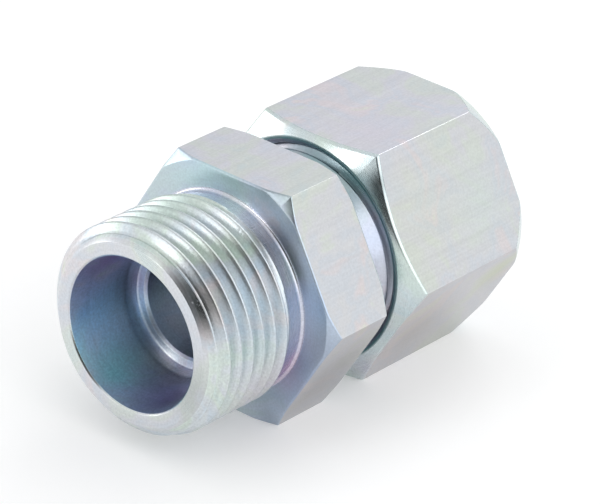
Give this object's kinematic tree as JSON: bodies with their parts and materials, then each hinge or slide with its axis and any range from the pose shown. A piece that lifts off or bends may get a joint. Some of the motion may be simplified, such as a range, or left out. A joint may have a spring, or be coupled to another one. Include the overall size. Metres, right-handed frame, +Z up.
{
  "type": "tube coupling",
  "caption": "Straight steel tube coupling: a hexagon body threaded at each end, with a hexagon union nut screwed on its rear thread over a cutting ring.",
  "frame": {"origin": "centre of the rectangle that the coupling covers on the surface it lies on, at the height of that surface", "axes": "+X along the tube axis from the bare threaded end to the nut end, +Z up, square to the flats that it lies on"},
  "size_m": [0.0404, 0.0266, 0.023],
  "materials": {
    "zinc_body": "blue passivated zinc plate on turned steel, threads and faces with turning marks",
    "zinc_nut": "blue passivated zinc plate on drawn hexagon bar, satin flats with faint drawing lines",
    "zinc_ring": "zinc plate, finely turned"
  },
  "bodies": {
    "coupling_body": {"coupling_body": "zinc_body"},
    "cutting_ring": {"cutting_ring": "zinc_ring"},
    "union_nut": {"union_nut": "zinc_nut"}
  },
  "joints": [
    {"name": "ring_slide", "type": "slide", "parent": "coupling_body", "child": "cutting_ring", "axis": [1, 0, 0], "range_m": [-0.0018, 0.0061]},
    {"name": "nut_turn", "type": "hinge", "parent": "cutting_ring", "child": "union_nut", "pos_m": [0, 0, 0.0115], "axis": [1, 0, 0], "range_deg": [-420, 1440]}
  ],
  "couplings": [
    {"joint": "ring_slide", "follows": "nut_turn", "m_per_rad": 0.00023873}
  ]
}
